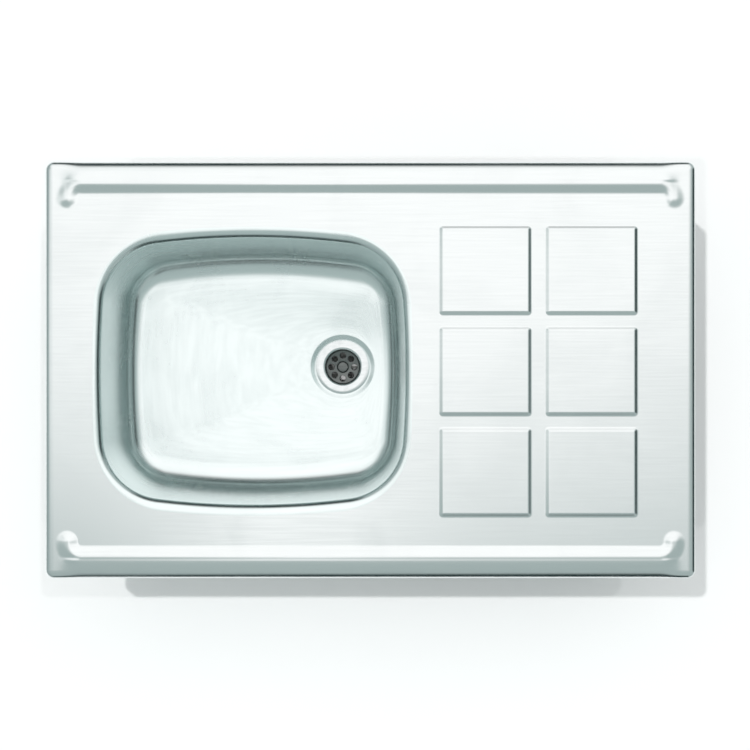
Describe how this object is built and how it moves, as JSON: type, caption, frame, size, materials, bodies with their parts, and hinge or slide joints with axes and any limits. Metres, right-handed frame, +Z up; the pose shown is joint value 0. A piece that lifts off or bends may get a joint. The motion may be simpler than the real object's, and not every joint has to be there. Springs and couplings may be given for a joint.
{
  "type": "lay-on kitchen sink",
  "caption": "Lay-on steel kitchen sink: deep bowl on the left, drainer of raised squares on the right, waste fitting below, slotted brackets on the lip.",
  "frame": {"origin": "middle of the underside of the return lip, the plane that rests on the cabinet", "axes": "+X from the bowl to the drainer, +Y to the back, +Z up"},
  "size_m": [0.78, 0.5, 0.2159],
  "materials": {
    "sink_steel": "satin",
    "waste_steel": "polished",
    "zinc_plate": "zinc plated",
    "bitumen": "matt",
    "seal_rubber": "matt",
    "waste_plastic": "satin",
    "insert_brass": "machined"
  },
  "bodies": {
    "sink": {"deck": "sink_steel", "bowl": "sink_steel", "mid_stiffener": "zinc_plate", "end_stiffener": "zinc_plate", "bowl_pad": "bitumen", "drainer_pad": "bitumen", "earth_tag": "sink_steel", "waste_flange": "waste_steel", "waste_top_seal": "seal_rubber", "waste_bottom_seal": "seal_rubber", "waste_body": "waste_plastic", "waste_insert": "insert_brass", "waste_screw": "waste_steel"},
    "bracket_left_front": {"bracket_left_front": "zinc_plate"},
    "fixing_left_front": {"fixing_left_front": "zinc_plate"},
    "bracket_left_back": {"bracket_left_back": "zinc_plate"},
    "fixing_left_back": {"fixing_left_back": "zinc_plate"},
    "bracket_right_front": {"bracket_right_front": "zinc_plate"},
    "fixing_right_front": {"fixing_right_front": "zinc_plate"},
    "bracket_right_back": {"bracket_right_back": "zinc_plate"},
    "fixing_right_back": {"fixing_right_back": "zinc_plate"}
  },
  "joints": [
    {"name": "bracket_left_front_slide", "type": "slide", "parent": "sink", "child": "bracket_left_front", "axis": [0, 1, 0], "range_m": [-0.06, 0.06]},
    {"name": "fixing_left_front_slide", "type": "slide", "parent": "bracket_left_front", "child": "fixing_left_front", "axis": [0, 0.866, -0.5], "range_m": [-0.0095, 0.0095]},
    {"name": "bracket_left_back_slide", "type": "slide", "parent": "sink", "child": "bracket_left_back", "axis": [0, 1, 0], "range_m": [-0.06, 0.06]},
    {"name": "fixing_left_back_slide", "type": "slide", "parent": "bracket_left_back", "child": "fixing_left_back", "axis": [0, 0.866, 0.5], "range_m": [-0.0095, 0.0095]},
    {"name": "bracket_right_front_slide", "type": "slide", "parent": "sink", "child": "bracket_right_front", "axis": [0, 1, 0], "range_m": [-0.06, 0.06]},
    {"name": "fixing_right_front_slide", "type": "slide", "parent": "bracket_right_front", "child": "fixing_right_front", "axis": [0, 0.866, -0.5], "range_m": [-0.0095, 0.0095]},
    {"name": "bracket_right_back_slide", "type": "slide", "parent": "sink", "child": "bracket_right_back", "axis": [0, 1, 0], "range_m": [-0.06, 0.06]},
    {"name": "fixing_right_back_slide", "type": "slide", "parent": "bracket_right_back", "child": "fixing_right_back", "axis": [0, 0.866, 0.5], "range_m": [-0.0095, 0.0095]}
  ]
}
